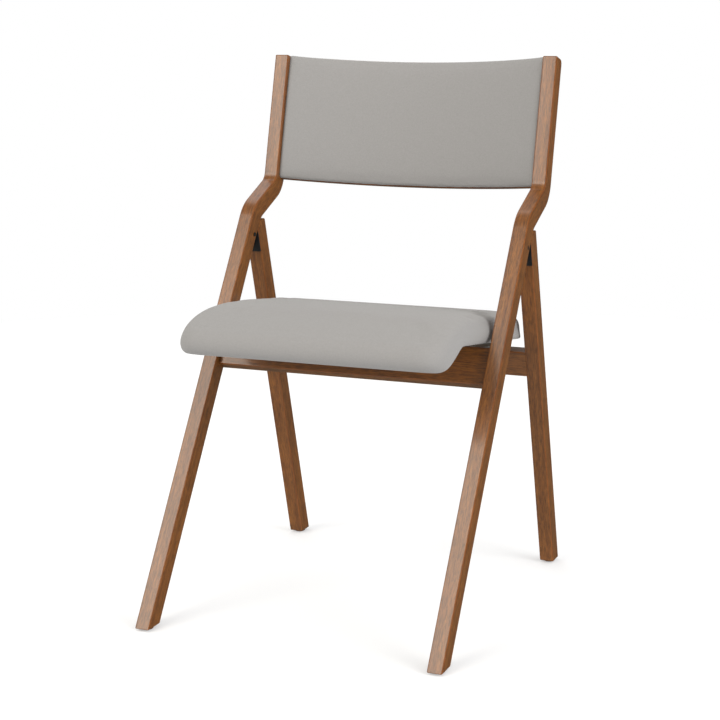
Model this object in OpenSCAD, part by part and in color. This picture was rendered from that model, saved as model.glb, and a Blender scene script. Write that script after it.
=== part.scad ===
// Folding side chair with bentwood legs, a padded seat and a padded curved back.
// Millimetres. X runs across the chair, the front faces -Y, Z is up, left is -X.
// The origin is on the floor, midway between the front and the rear feet.

/* [Overall] */
// Overall width over the legs
chair_w = 470; // [430:1:520]
// Distance from the front feet's toes to the rear feet's heels
foot_span = 564.8; // [540:0.1:580]
// Width of each leg, across the chair
leg_w = 22.7; // [20:0.1:26]
// Depth of each front leg and back stile
leg_d = 29; // [26:0.5:30]
// Depth of each rear leg
rear_leg_d = 28.7; // [26:0.1:30]

/* [Front legs] */
// Lean of the front legs from the vertical, in degrees
front_lean = 32.3; // [31.5:0.1:33]
// Straight length of the front leg's face, from the foot to the lower bend
lower_len = 665.9; // [660:0.1:672]
// Lean of the leg between its two bends, in degrees
bend_lean = 65.9; // [60:0.1:70]
// Straight length between the two bends
bend_len = 58.3; // [50:0.1:66]
// Lean of the back stile, in degrees
stile_lean = 13.9; // [10:0.1:18]
// Straight length of the back stile above the upper bend
stile_len = 191.2; // [186:0.1:200]
// Radius on the hollow side of the lower bend
lower_bend_r = 33; // [28:1:40]
// Radius on the hollow side of the upper bend
upper_bend_r = 20; // [16:1:26]

/* [Rear legs] */
// Lean of the rear legs from the vertical, in degrees
rear_lean = 16.5; // [16:0.1:17]
// Height of the rear legs' level tops
rear_leg_top = 557.5; // [550:0.5:560]
// Gap between a rear leg's stop face and the front leg when the chair is open
stop_gap = 1; // [0.4:0.1:2]

/* [Leg pivot] */
// Distance of the leg pivot along the front leg
pivot_s = 643.3; // [640:0.1:646]
// Depth of the leg pivot behind the front leg's face
pivot_p = 21; // [20:0.1:21.5]
// Radius of the pivot pins
pivot_r = 3.3; // [3:0.1:3.5]

/* [Rails] */
// Distance of the front rail's lower edge along the leg
front_rail_s = 420; // [415:1:425]
// Height of the front rail
front_rail_h = 58; // [50:1:60]
// Thickness of the front rail
front_rail_t = 18; // [16:1:19]
// Distance of the rear rail's lower edge along the rear leg
rear_rail_s = 336.5; // [334:0.5:338]
// Height of the rear rail
rear_rail_h = 41.6; // [38:0.1:42]
// Thickness of the rear rail
rear_rail_t = 19; // [16:1:20]

/* [Seat] */
// Width of the seat
seat_w = 410; // [390:1:414]
// Slope of the seat down to the rear, in degrees
seat_slope = 7.1; // [6.5:0.1:7.5]
// Reach of the seat in front of its hinge
seat_front = 188; // [180:1:192]
// Reach of the seat behind its hinge
seat_rear = 192; // [186:1:194]
// Thickness of the padded seat, board and foam together
seat_t = 40.7; // [36:0.1:44]
// Drop of the front lip below the seat's underside
lip_drop = 34.3; // [30:0.1:36]
// Corner radius of the seat in plan
seat_corner_r = 42; // [36:1:50]
// Thickness of the bent seat board
board_t = 10; // [8:0.5:12]

/* [Back] */
// Height of the padded back
back_h = 200.6; // [190:0.1:202]
// Drop of the pad's lower edge below the straight part of the stile
back_drop = 7.5; // [4:0.5:9]
// Depth of the back's curve across the chair
back_bow = 40; // [34:1:42]
// Depth of the pad's face behind the front of the stiles
back_setback = 4; // [3:0.5:8]
// Thickness of the back pad
back_pad_t = 13; // [10:0.5:13]
// Thickness of the curved back panel
back_panel_t = 9; // [8:0.5:9]

/* [Hidden] */
$fn = 48;

wood = "#8c5f42";
cloth = "#acaaa6";
black_steel = "#26282b";
bright_steel = "#b9bcc0";
brown_plastic = "#4a2f20";
black_cloth = "#202020";
black_rubber = "#1a1a1a";

side_names = [-1, 1];
glue_gap = 0.02;            // between a fastener and its pilot hole
run_gap = 0.05;             // between a pin and its own bore
side_gap = 0.3;             // between parts that move past each other
pin_recess = 0.1;           // of a pivot pin's outer end below the leg's side
pin_proud = 1.2;            // of its inner end
glide_h = 3;
glide_r = 9;
glide_chamfer = [1.5, 1.2]; // across and up
nail_r = 1.2;
nail_len = 16;
nail_head_r = 3;
nail_head_t = 1;
inner_x = chair_w / 2 - leg_w;
dowel_r = 4;
dowel_len = 36;
dowel_in_leg = 12;
front_dowel_inset = 14;     // from the front rail's long edges
rear_dowel_inset = 11;      // from the rear rail's long edges
rail_screw_len = 14;        // screws into the rails
seat_screw_len = 9;         // screws into the seat board
leg_screw_len = 18;         // screws into the rear legs
panel_dowel_r = 3;
panel_dowel_len = 24;
panel_dowel_in_leg = 10;

// A point reached from another along a line that leans back from the vertical, in the side view
function run(from, lean, length) = from + length * [sin(lean), cos(lean)];
// The direction square to that line, towards the rear
function behind(lean) = [cos(lean), -sin(lean)];

foot = [-foot_span / 2, glide_h];
rear_heel = [foot_span / 2, glide_h];
rear_foot = rear_heel - [rear_leg_d / cos(rear_lean), 0];
pivot = run(foot, front_lean, pivot_s) + pivot_p * behind(front_lean);
// The leg pivot seen from the rear leg: distance along it, and distance in front of it
pivot_from_foot = pivot - rear_foot;
rear_pivot_s = pivot_from_foot * [-sin(rear_lean), cos(rear_lean)];
rear_pivot_q = pivot_from_foot * behind(-rear_lean);

// Corners of the front leg's face, from the foot up
bend_1_start = run(foot, front_lean, lower_len);
lower_face_r = lower_bend_r + leg_d;
bend_1_centre = bend_1_start + lower_face_r * behind(front_lean);
bend_1_end = bend_1_centre - lower_face_r * behind(bend_lean);
bend_2_start = run(bend_1_end, bend_lean, bend_len);
bend_2_centre = bend_2_start - upper_bend_r * behind(bend_lean);
stile_foot = bend_2_centre + upper_bend_r * behind(stile_lean);
stile_corner_r = 8;         // at the top, behind

// Seat hinge: a barrel just in front of the front rail's top edge
leaf_t = 1.5;
barrel_r = 3;
hinge_pin_r = 1.5;
hinge_x = 110;
hinge_w = 50;
leaf_len = 26;
hinge_screw_pitch = 17;
hinge_screw_edge = 9;       // from the leaf's far edge
hinge_s = front_rail_s + front_rail_h;
rail_face_p = leg_d - front_rail_t;
hinge_p = rail_face_p - barrel_r - side_gap;
seat_hinge = run(foot, front_lean, hinge_s) + hinge_p * behind(front_lean);
knuckles = 3;
knuckle_w = hinge_w / knuckles;

// Seat heights above the hinge's centre, square to the seat
seat_under = barrel_r + side_gap;
dust_t = 0.8;
seat_top = seat_under + seat_t;
seat_fold = 90 - front_lean + seat_slope;
leg_fold = front_lean + rear_lean;

// Spreader links: two steel straps beside the seat brackets
link_x = 158;               // face of the brackets' ears that the link lies against
link_t = 2.5;
link_half_w = 5;
ear_t = 2;
ear_r = 5.5;
rivet_r = 2.5;
foot_plate_w = 14;
foot_plate_gap = 1;         // from the rear rail's edges
foot_screw_in = 8;          // from the ear's outer face
foot_screw_edge = 5;        // from the rear rail's edges
foot_screw_pitch = 10;      // either side of the seat's ear
rivet_head_r = 4;
rivet_head_t = 1.2;
rail_pivot_q = 12;
rail_pivot_rise = 8.4;      // above the rear rail
rail_pivot_s = rear_rail_s + rear_rail_h + rail_pivot_rise;
seat_pivot_v = -5;          // below the hinge's centre, square to the seat
// The link's rail end, open and folded, seen from the seat: along it and square to it
function turn(point, angle) =
    [point[0] * cos(angle) - point[1] * sin(angle), point[0] * sin(angle) + point[1] * cos(angle)];
rail_pivot = run(rear_foot, -rear_lean, rail_pivot_s) + rail_pivot_q * behind(-rear_lean);
rail_pivot_folded = pivot + turn(rail_pivot - pivot, -leg_fold);
open_end = turn(rail_pivot - seat_hinge, seat_slope);
folded_end = turn(rail_pivot_folded - seat_hinge, seat_slope - seat_fold);
// The seat end lies as far from the one as from the other
end_middle = (open_end + folded_end) / 2;
end_travel = open_end - folded_end;
seat_pivot_u = end_middle[0] - (seat_pivot_v - end_middle[1]) * end_travel[1] / end_travel[0];
link_vector = open_end - [seat_pivot_u, seat_pivot_v];
link_len = norm(link_vector);
link_tilt = atan2(link_vector[1], link_vector[0]);
folded_vector = folded_end - [seat_pivot_u, seat_pivot_v];
link_turn = link_tilt - atan2(folded_vector[1], folded_vector[0]);

bumper_x = 70;
bumper_r = 8;
bumper_u = 174;
bumper_blank_h = 24;        // before its foot is cut to the rail
bumper_bore_r = 3.5;        // access bore for the screw's head
bumper_screw_depth = 5;
bumper_screw_len = 12;
far = 200;                  // longer than any cut needs
curve_fn = 180;             // facets of the back's wide circles

// ---- Frames and helpers ----

// Places children drawn with X across, Y to the rear of the front leg's face and Z along the leg
module on_front_leg() translate([0, foot[0], foot[1]]) rotate([-front_lean, 0, 0]) children();

// The same for the rear leg
module on_rear_leg() translate([0, rear_foot[0], rear_foot[1]]) rotate([rear_lean, 0, 0]) children();

// The same for the back stile, from its lower end
module on_stile() translate([0, stile_foot[0], stile_foot[1]]) rotate([-stile_lean, 0, 0]) children();

// Children drawn from the seat hinge, with Y along the seat to the rear and Z square to it
module on_seat() translate([0, seat_hinge[0], seat_hinge[1]]) rotate([-seat_slope, 0, 0]) children();

// Extrudes a side view, drawn as [Y, Z], across the chair from x0 to x1
module across(x0, x1) translate([x0, 0, 0]) rotate([90, 0, 90]) linear_extrude(x1 - x0) children();

// A rod along X, centred on a point of the side view
module rod(point, r, x0, x1) translate([x0, point[0], point[1]]) rotate([0, 90, 0]) cylinder(r = r, h = x1 - x0);

// Points on an arc in the side view, between two angles from +Y
function arc(centre, r, from, to, steps = 12) = [
    for (i = [0 : steps]) let (angle = from + i / steps * (to - from)) centre + r * [cos(angle), sin(angle)]
];

// A countersunk wood screw along -Z, with its flat head at the origin
module wood_screw(length, r = 1.5, head_r = 3) {
    translate([0, 0, -length]) cylinder(r = r, h = length);
    translate([0, 0, r - head_r]) cylinder(r1 = r, r2 = head_r, h = head_r - r);
}

// The hole for one
module screw_hole(length, r = 1.5, head_r = 3) wood_screw(length + 1, r + glue_gap, head_r + glue_gap);

// ---- Front legs and back stiles ----

// Up the leg's face, over the rounded top and down its back
module front_leg_2d() polygon(concat(
    [foot],
    arc(bend_1_centre, lower_face_r, 180 - front_lean, 180 - bend_lean),
    arc(bend_2_centre, upper_bend_r, -bend_lean, -stile_lean),
    [run(stile_foot, stile_lean, stile_len)],
    arc(
        run(stile_foot, stile_lean, stile_len - stile_corner_r) + (leg_d - stile_corner_r) * behind(stile_lean),
        stile_corner_r, 90 - stile_lean, -stile_lean, 6
    ),
    arc(bend_2_centre, upper_bend_r + leg_d, -stile_lean, -bend_lean),
    arc(bend_1_centre, lower_bend_r, 180 - bend_lean, 180 - front_lean),
    [foot + [leg_d / cos(front_lean), 0]]
));

// Tongue of the leg bracket, in the rear leg's frame: [behind the leg's face, along the leg]
tongue_t = 3;
tongue_r = 6.5;
bracket_t = 2;
bracket_s = 525;
bracket_h = 33;
slot_clear = 0.5;
slot_len = 40;              // below the leg pivot
tongue_foot_gap = 8;        // from the plate's lower edge
tongue_head_gap = 4;        // from the plate's upper edge
tongue_low_angle = 205;     // where the tongue's edges meet its rounded end
tongue_high_angle = 75;
plate_gap = 0.6;            // from the leg's edges
bracket_screw_dx = 6;
bracket_screws_s = [7, bracket_h - 9];

module front_leg(side) {
    centre_x = side * (inner_x + leg_w / 2);
    difference() {
        across(centre_x - leg_w / 2, centre_x + leg_w / 2) front_leg_2d();
        rod(pivot, pivot_r + run_gap, centre_x - leg_w, centre_x + leg_w);
        // Slot in the rear face that the bracket's tongue swings in
        on_front_leg() translate([
            centre_x - tongue_t / 2 - slot_clear,
            pivot_p - tongue_r - slot_clear,
            pivot_s - slot_len
        ]) cube([tongue_t + 2 * slot_clear, leg_d, slot_len + tongue_r + slot_clear]);
        front_rail_dowels_at(dowel_r + glue_gap);
        back_panel_dowels_at(panel_dowel_r + glue_gap);
        glide_nail(side * (inner_x + leg_w / 2), foot_middle_y(), glue_gap);
    }
}

function foot_middle_y() = foot[0] + leg_d / cos(front_lean) / 2;
function rear_foot_middle_y() = rear_heel[0] - rear_leg_d / cos(rear_lean) / 2;

module left_front_leg() color(wood) front_leg(-1);
module right_front_leg() color(wood) front_leg(1);

// ---- Front rail ----

module front_rail_dowels_at(r)
    for (side = side_names, s = [front_dowel_inset, front_rail_h - front_dowel_inset])
        on_front_leg() translate([0, leg_d - front_rail_t / 2, front_rail_s + s])
            rod([0, 0], r, side > 0 ? inner_x + dowel_in_leg - dowel_len : -inner_x - dowel_in_leg,
                side > 0 ? inner_x + dowel_in_leg : -inner_x - dowel_in_leg + dowel_len);

module front_rail() color(wood) difference() {
    on_front_leg() translate([-inner_x, rail_face_p, front_rail_s])
        cube([2 * inner_x, front_rail_t, front_rail_h]);
    front_rail_dowels_at(dowel_r + glue_gap);
    rail_hinge_screws_at() screw_hole(rail_screw_len);
}

module front_rail_dowels() color("#c9a878") front_rail_dowels_at(dowel_r);

// ---- Back ----

// Radius of the pad's hollow face, from the bow over the width between the stiles
back_r = (inner_x ^ 2 + back_bow ^ 2) / (2 * back_bow);
panel_r = back_r + back_pad_t;
panel_p = back_setback + back_pad_t;

// A curved slab between the stiles, from r_in to r_out about the back's axis
module back_slab(r_in, r_out, half_w, low, high)
    on_stile() translate([0, 0, low]) linear_extrude(high - low) intersection() {
        translate([0, back_setback + back_bow - back_r])
            difference() { circle(r_out, $fn = curve_fn); circle(r_in, $fn = curve_fn); }
        translate([-half_w, 0]) square([2 * half_w, far]);
    }

back_low = -back_drop;
back_top = back_low + back_h;

// Dowels between the panel's ends and the stiles, in line with the ends of the panel's curve
panel_mid_r = panel_r + back_panel_t / 2;
panel_end_p = back_setback + back_bow - back_r + sqrt(panel_mid_r ^ 2 - inner_x ^ 2);
panel_end_turn = asin(inner_x / panel_mid_r);
panel_dowel_shares = [0.15, 0.5, 0.85]; // of the back's height

module back_panel_dowels_at(r)
    for (side = side_names, share = panel_dowel_shares)
        on_stile() translate([side * inner_x, panel_end_p, back_low + share * back_h])
            rotate([0, 0, -side * panel_end_turn]) translate([side * panel_dowel_in_leg, 0, 0])
                rotate([0, -90 * side, 0]) cylinder(r = r, h = panel_dowel_len);

module back_panel() color(wood) difference() {
    back_slab(panel_r, panel_r + back_panel_t, inner_x, back_low, back_top);
    back_panel_dowels_at(panel_dowel_r + glue_gap);
}

module back_panel_dowels() color("#c9a878") back_panel_dowels_at(panel_dowel_r);

module back_pad() color(cloth) back_slab(back_r, panel_r, inner_x, back_low, back_top);

// ---- Glides ----

module glide(x, y) difference() {
    turned_at(x, y) polygon([
        [0, 0], [glide_r - glide_chamfer[0], 0], [glide_r, glide_chamfer[1]], [glide_r, glide_h], [0, glide_h]
    ]);
    glide_nail(x, y, glue_gap);
}

// A turned piece that stands on the floor
module turned_at(x, y) translate([x, y, 0]) rotate_extrude() children();

// A nail with a flat head, sunk in the glide
module glide_nail(x, y, gap = 0) translate([x, y, nail_head_t]) {
    cylinder(r = nail_r + gap, h = nail_len + gap);
    cylinder(r = nail_head_r + gap, h = nail_head_t);
}

module left_front_glide() color(brown_plastic) glide(-inner_x - leg_w / 2, foot_middle_y());
module right_front_glide() color(brown_plastic) glide(inner_x + leg_w / 2, foot_middle_y());
module left_rear_glide() color(brown_plastic) glide(-inner_x - leg_w / 2, rear_foot_middle_y());
module right_rear_glide() color(brown_plastic) glide(inner_x + leg_w / 2, rear_foot_middle_y());

module front_glide_nails() color(bright_steel)
    for (side = side_names) glide_nail(side * (inner_x + leg_w / 2), foot_middle_y());
module rear_glide_nails() color(bright_steel)
    for (side = side_names) glide_nail(side * (inner_x + leg_w / 2), rear_foot_middle_y());

// ---- Leg pivots ----

module leg_pivot_pin(side) {
    outer = side * (inner_x + leg_w - pin_recess);
    inner = side * (inner_x - pin_proud);
    rod(pivot, pivot_r, min(outer, inner), max(outer, inner));
}

module left_leg_pivot_pin() color(black_steel) leg_pivot_pin(-1);
module right_leg_pivot_pin() color(black_steel) leg_pivot_pin(1);

// ---- Seat hinges: leaves, screws and pins ----

// Every second knuckle of a barrel along X at the origin. A radius over the barrel's clears the room around them.
module hinge_knuckles(side, first, r)
    for (k = [first : 2 : knuckles - 1])
        rod([0, 0], r, side * hinge_x - hinge_w / 2 + k * knuckle_w + (r > barrel_r ? 0 : side_gap / 2),
            side * hinge_x - hinge_w / 2 + (k + 1) * knuckle_w - (r > barrel_r ? 0 : side_gap / 2));

module rail_hinge_leaf(side) color(bright_steel) difference() {
    on_front_leg() translate([0, hinge_p, hinge_s]) difference() {
        union() {
            hinge_knuckles(side, 0, barrel_r);
            translate([side * hinge_x - hinge_w / 2, barrel_r + side_gap - leaf_t, -leaf_len])
                cube([hinge_w, leaf_t, leaf_len]);
        }
        hinge_knuckles(side, 1, barrel_r + side_gap);
        rod([0, 0], hinge_pin_r + run_gap, side * hinge_x - hinge_w, side * hinge_x + hinge_w);
    }
    rail_hinge_screws_at() screw_hole(rail_screw_len);
}

module seat_hinge_leaf(side) color(bright_steel) difference() {
    on_seat() difference() {
        union() {
            hinge_knuckles(side, 1, barrel_r);
            translate([side * hinge_x - hinge_w / 2, 0, seat_under - leaf_t]) cube([hinge_w, leaf_len, leaf_t]);
        }
        hinge_knuckles(side, 0, barrel_r + side_gap);
        rod([0, 0], hinge_pin_r + run_gap, side * hinge_x - hinge_w, side * hinge_x + hinge_w);
    }
    seat_hinge_screws_at() screw_hole(seat_screw_len);
}

module rail_hinge_screws_at()
    for (side = side_names, dx = [-hinge_screw_pitch, 0, hinge_screw_pitch])
        on_front_leg() translate([side * hinge_x + dx, rail_face_p - leaf_t, hinge_s - leaf_len + hinge_screw_edge])
            rotate([90, 0, 0]) children();

module seat_hinge_screws_at()
    for (side = side_names, dx = [-hinge_screw_pitch, 0, hinge_screw_pitch])
        on_seat() translate([side * hinge_x + dx, leaf_len - hinge_screw_edge, seat_under - leaf_t])
            rotate([180, 0, 0]) children();

module left_rail_hinge_leaf() rail_hinge_leaf(-1);
module right_rail_hinge_leaf() rail_hinge_leaf(1);
module left_seat_hinge_leaf() seat_hinge_leaf(-1);
module right_seat_hinge_leaf() seat_hinge_leaf(1);
module rail_hinge_screws() color(bright_steel) rail_hinge_screws_at() wood_screw(rail_screw_len);
module seat_hinge_screws() color(bright_steel) seat_hinge_screws_at() wood_screw(seat_screw_len);

module seat_hinge_pin(side)
    rod(seat_hinge, hinge_pin_r, side * hinge_x - hinge_w / 2, side * hinge_x + hinge_w / 2);

module left_seat_hinge_pin() color(bright_steel) seat_hinge_pin(-1);
module right_seat_hinge_pin() color(bright_steel) seat_hinge_pin(1);

// ---- Rear legs ----

leg_spare = 20;             // length of the blank beyond each end

module rear_leg(side) {
    centre_x = side * (inner_x + leg_w / 2);
    difference() {
        on_rear_leg() translate([centre_x - leg_w / 2, 0, -leg_spare])
            cube([leg_w, rear_leg_d, rear_leg_top / cos(rear_lean) + 2 * leg_spare]);
        translate([centre_x - leg_w, 0, -far + glide_h]) cube([2 * leg_w, 2 * far, far]);
        translate([centre_x - leg_w, 0, rear_leg_top]) cube([2 * leg_w, 2 * far, far]);
        // Stop face, parallel to the back of the front leg
        on_front_leg() translate([centre_x - leg_w, -far, pivot_s - far])
            cube([2 * leg_w, far + leg_d + stop_gap, 2 * far]);
        // Relief at its top, for the hollow of the front leg's lower bend
        difference() {
            on_front_leg() translate([centre_x - leg_w, 0, lower_len])
                cube([2 * leg_w, leg_d + lower_bend_r, lower_bend_r]);
            rod(bend_1_centre, lower_bend_r - stop_gap, centre_x - 2 * leg_w, centre_x + 2 * leg_w);
        }
        leg_bracket_screws_at() screw_hole(leg_screw_len);
        rear_rail_dowels_at(dowel_r + glue_gap);
        glide_nail(centre_x, rear_foot_middle_y(), glue_gap);
    }
}

module left_rear_leg() color(wood) rear_leg(-1);
module right_rear_leg() color(wood) rear_leg(1);

// Steel bracket: a plate on the leg's face and a tongue to the pivot
module leg_bracket(side) {
    centre_x = side * (inner_x + leg_w / 2);
    plate_w = leg_w - 2 * plate_gap;
    color(black_steel) difference() {
        union() {
            on_rear_leg() translate([centre_x - plate_w / 2, -bracket_t, bracket_s])
                cube([plate_w, bracket_t, bracket_h]);
            on_rear_leg()
                rod([rear_pivot_q, rear_pivot_s], tongue_r, centre_x - tongue_t / 2, centre_x + tongue_t / 2);
            on_rear_leg() across(centre_x - tongue_t / 2, centre_x + tongue_t / 2) polygon([
                [-bracket_t, bracket_s + tongue_foot_gap],
                [-bracket_t, bracket_s + bracket_h - tongue_head_gap],
                [rear_pivot_q, rear_pivot_s] + tongue_r * [cos(tongue_high_angle), sin(tongue_high_angle)],
                [rear_pivot_q, rear_pivot_s] + tongue_r * [cos(tongue_low_angle), sin(tongue_low_angle)]
            ]);
        }
        rod(pivot, pivot_r + run_gap, centre_x - leg_w, centre_x + leg_w);
        leg_bracket_screws_at() screw_hole(leg_screw_len);
    }
}

module leg_bracket_screws_at()
    for (side = side_names, dx = [-bracket_screw_dx, bracket_screw_dx], s = bracket_screws_s)
        on_rear_leg() translate([side * (inner_x + leg_w / 2) + dx, -bracket_t, bracket_s + s])
            rotate([90, 0, 0]) children();

module left_leg_bracket() leg_bracket(-1);
module right_leg_bracket() leg_bracket(1);
module leg_bracket_screws() color(black_steel) leg_bracket_screws_at() wood_screw(leg_screw_len);

// ---- Rear rail ----

module rear_rail_dowels_at(r)
    for (side = side_names, s = [rear_dowel_inset, rear_rail_h - rear_dowel_inset])
        on_rear_leg() translate([0, rear_rail_t / 2, rear_rail_s + s])
            rod([0, 0], r, side > 0 ? inner_x + dowel_in_leg - dowel_len : -inner_x - dowel_in_leg,
                side > 0 ? inner_x + dowel_in_leg : -inner_x - dowel_in_leg + dowel_len);

module rear_rail() color(wood) difference() {
    on_rear_leg() translate([-inner_x, 0, rear_rail_s]) cube([2 * inner_x, rear_rail_t, rear_rail_h]);
    rear_rail_dowels_at(dowel_r + glue_gap);
    rail_bracket_screws_at() screw_hole(rail_screw_len);
}

module rear_rail_dowels() color("#c9a878") rear_rail_dowels_at(dowel_r);

// ---- Brackets of the spreader links ----

// Span across the chair, from near the middle outwards, on the given side
module sided(side, x0, x1) across(side > 0 ? x0 : -x1, side > 0 ? x1 : -x0) children();

bracket_foot_w = 30;

module rail_link_bracket(side) color(bright_steel) difference() {
    on_rear_leg() {
        sided(side, link_x - foot_plate_w, link_x) translate([foot_plate_gap, rear_rail_s + rear_rail_h])
            square([rear_rail_t - 2 * foot_plate_gap, ear_t]);
        sided(side, link_x - ear_t, link_x) difference() {
            union() {
                translate([rail_pivot_q, rail_pivot_s]) circle(ear_r);
                translate([rail_pivot_q - ear_r, rear_rail_s + rear_rail_h])
                    square([2 * ear_r, rail_pivot_s - rear_rail_s - rear_rail_h]);
            }
            translate([rail_pivot_q, rail_pivot_s]) circle(rivet_r + run_gap);
        }
    }
    rail_bracket_screws_at() screw_hole(rail_screw_len);
}

module rail_bracket_screws_at()
    for (side = side_names, q = [foot_screw_edge, rear_rail_t - foot_screw_edge])
        on_rear_leg() translate([side * (link_x - foot_screw_in), q, rear_rail_s + rear_rail_h + ear_t]) children();

module left_rail_link_bracket() rail_link_bracket(-1);
module right_rail_link_bracket() rail_link_bracket(1);
module rail_bracket_screws() color(bright_steel) rail_bracket_screws_at() wood_screw(rail_screw_len);

module seat_link_bracket(side) color(bright_steel) difference() {
    on_seat() {
        sided(side, link_x - foot_plate_w, link_x)
            translate([seat_pivot_u - bracket_foot_w / 2, seat_under - ear_t]) square([bracket_foot_w, ear_t]);
        sided(side, link_x - ear_t, link_x) difference() {
            union() {
                translate([seat_pivot_u, seat_pivot_v]) circle(ear_r);
                translate([seat_pivot_u - ear_r, seat_pivot_v]) square([2 * ear_r, seat_under - seat_pivot_v]);
            }
            translate([seat_pivot_u, seat_pivot_v]) circle(rivet_r + glue_gap);
        }
    }
    seat_bracket_screws_at() screw_hole(seat_screw_len);
}

module seat_bracket_screws_at()
    for (side = side_names, du = [-foot_screw_pitch, foot_screw_pitch])
        on_seat() translate([side * (link_x - foot_screw_in), seat_pivot_u + du, seat_under - ear_t])
            rotate([180, 0, 0]) children();

module left_seat_link_bracket() seat_link_bracket(-1);
module right_seat_link_bracket() seat_link_bracket(1);
module seat_bracket_screws() color(bright_steel) seat_bracket_screws_at() wood_screw(seat_screw_len);

// Rivet that carries the link on the seat's bracket
module link_rivet(side) on_seat() {
    inner = link_x - ear_t;
    outer = link_x + link_t + 2 * side_gap;
    translate([0, seat_pivot_u, seat_pivot_v]) {
        sided(side, inner - rivet_head_t, outer + rivet_head_t) circle(rivet_r);
        sided(side, inner - rivet_head_t, inner) circle(rivet_head_r);
        sided(side, outer, outer + rivet_head_t) circle(rivet_head_r);
    }
}

module left_link_rivet() color(bright_steel) link_rivet(-1);
module right_link_rivet() color(bright_steel) link_rivet(1);

// ---- Spreader links ----

// Children drawn from the link's seat end, with Y along the link
module on_link() on_seat() translate([0, seat_pivot_u, seat_pivot_v]) rotate([link_tilt, 0, 0]) children();

module link(side) color(bright_steel) on_link()
    sided(side, link_x + side_gap, link_x + side_gap + link_t) difference() {
        union() {
            circle(link_half_w);
            translate([0, -link_half_w]) square([link_len, 2 * link_half_w]);
            translate([link_len, 0]) circle(link_half_w);
        }
        circle(rivet_r + run_gap);
        translate([link_len, 0]) circle(rivet_r + glue_gap);
    }

module left_link() link(-1);
module right_link() link(1);

// Stud fixed in the link's rail end
module link_stud(side) color(bright_steel) on_link() {
    sided(side, link_x + side_gap, link_x + side_gap + link_t) translate([link_len, 0]) circle(rivet_r);
    sided(side, link_x + side_gap + link_t, link_x + side_gap + link_t + rivet_head_t)
        translate([link_len, 0]) circle(rivet_head_r);
}

module left_link_stud() link_stud(-1);
module right_link_stud() link_stud(1);

// ---- Seat ----

// The underside of the seat in the side view: flat, then an S-curve down to the lip
lip_knee = -92;
lip_r = 18;
lip_toe = lip_r - seat_front;
curve_steps = 10;
function under_curve(rise, toe_rise = 0) = [
    for (i = [0 : curve_steps])
        let (t = i / curve_steps)
        [
            lip_toe + t * (lip_knee - lip_toe),
            seat_under - lip_drop * (1 + cos(180 * t)) / 2 + rise + toe_rise * (1 - t)
        ]
];

// Rounded rectangle in plan, seen square to the seat
module seat_plan(inset, rear_inset) {
    r = seat_corner_r - inset;
    half_w = seat_w / 2 - inset;
    depth = seat_front + seat_rear - inset - rear_inset;
    translate([0, inset - seat_front]) {
        for (x = [r - half_w, half_w - r], y = [r, depth - r]) translate([x, y]) circle(r);
        translate([-half_w, r]) square([2 * half_w, depth - 2 * r]);
        translate([r - half_w, 0]) square([2 * (half_w - r), depth]);
    }
}

nose_v = -11;               // height of the foremost line of the cushion
nose_back = 128;            // distance behind that line at which the top starts to fall
rear_round = 14;            // of the rear edge's top
rear_chamfer = 4;           // of the rear edge's underside
quarter_steps = 4;

module cushion_2d() polygon(concat(
    under_curve(0),
    [[seat_rear - rear_chamfer, seat_under], [seat_rear, seat_under + rear_chamfer]],
    [for (i = [0 : quarter_steps]) [
        seat_rear - rear_round + rear_round * cos(90 * i / quarter_steps),
        seat_top - rear_round + rear_round * sin(90 * i / quarter_steps)
    ]],
    [for (i = [0 : curve_steps]) [
        nose_back - seat_front - nose_back * sin(90 * i / curve_steps),
        nose_v + (seat_top - nose_v) * cos(90 * i / curve_steps)
    ]],
    [for (i = [1 : quarter_steps]) [
        lip_toe - lip_r * cos(90 * i / quarter_steps),
        nose_v - (lip_drop - seat_under + nose_v) * sin(90 * i / quarter_steps)
    ]]
));

module seat_board_2d() polygon(concat(
    under_curve(dust_t, wrap_t),
    [[seat_rear, seat_under + dust_t], [seat_rear, seat_under + dust_t + board_t]],
    [for (i = [curve_steps : -1 : 0]) under_curve(dust_t + board_t)[i]]
));

wrap_t = 3;                 // of the foam folded under the board's front edge
board_inset = 14;           // from the cushion's sides and front
board_rear_inset = 5;
dust_inset = 10;            // from the board's edge
dust_front_gap = 2;

// The seat's plan as a tall block
module seat_block(inset, rear_inset)
    translate([0, 0, -far / 2]) linear_extrude(far) seat_plan(inset, rear_inset);

module seat_board_blank() on_seat() intersection() {
    across(-seat_w / 2, seat_w / 2) seat_board_2d();
    seat_block(board_inset, board_rear_inset);
}

module seat_dust_cover_blank() on_seat() intersection() {
    translate([-seat_w / 2, lip_knee + dust_front_gap, seat_under]) cube([seat_w, seat_front + seat_rear, dust_t]);
    seat_block(board_inset + dust_inset, board_rear_inset + dust_inset);
}

module seat_board() color("#b08a5e") difference() {
    seat_board_blank();
    seat_screw_holes();
}

module seat_dust_cover() color(black_cloth) difference() {
    seat_dust_cover_blank();
    seat_screw_holes();
}

module seat_screw_holes() {
    seat_hinge_screws_at() screw_hole(seat_screw_len);
    seat_bracket_screws_at() screw_hole(seat_screw_len);
    seat_bumper_screws_at() screw_hole(bumper_screw_len);
}

module seat_cushion() color(cloth) difference() {
    on_seat() intersection() {
        across(-seat_w / 2, seat_w / 2) cushion_2d();
        seat_block(0, 0);
    }
    seat_board_blank();
    seat_dust_cover_blank();
}

// ---- Seat bumpers, resting on the rear rail ----

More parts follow.
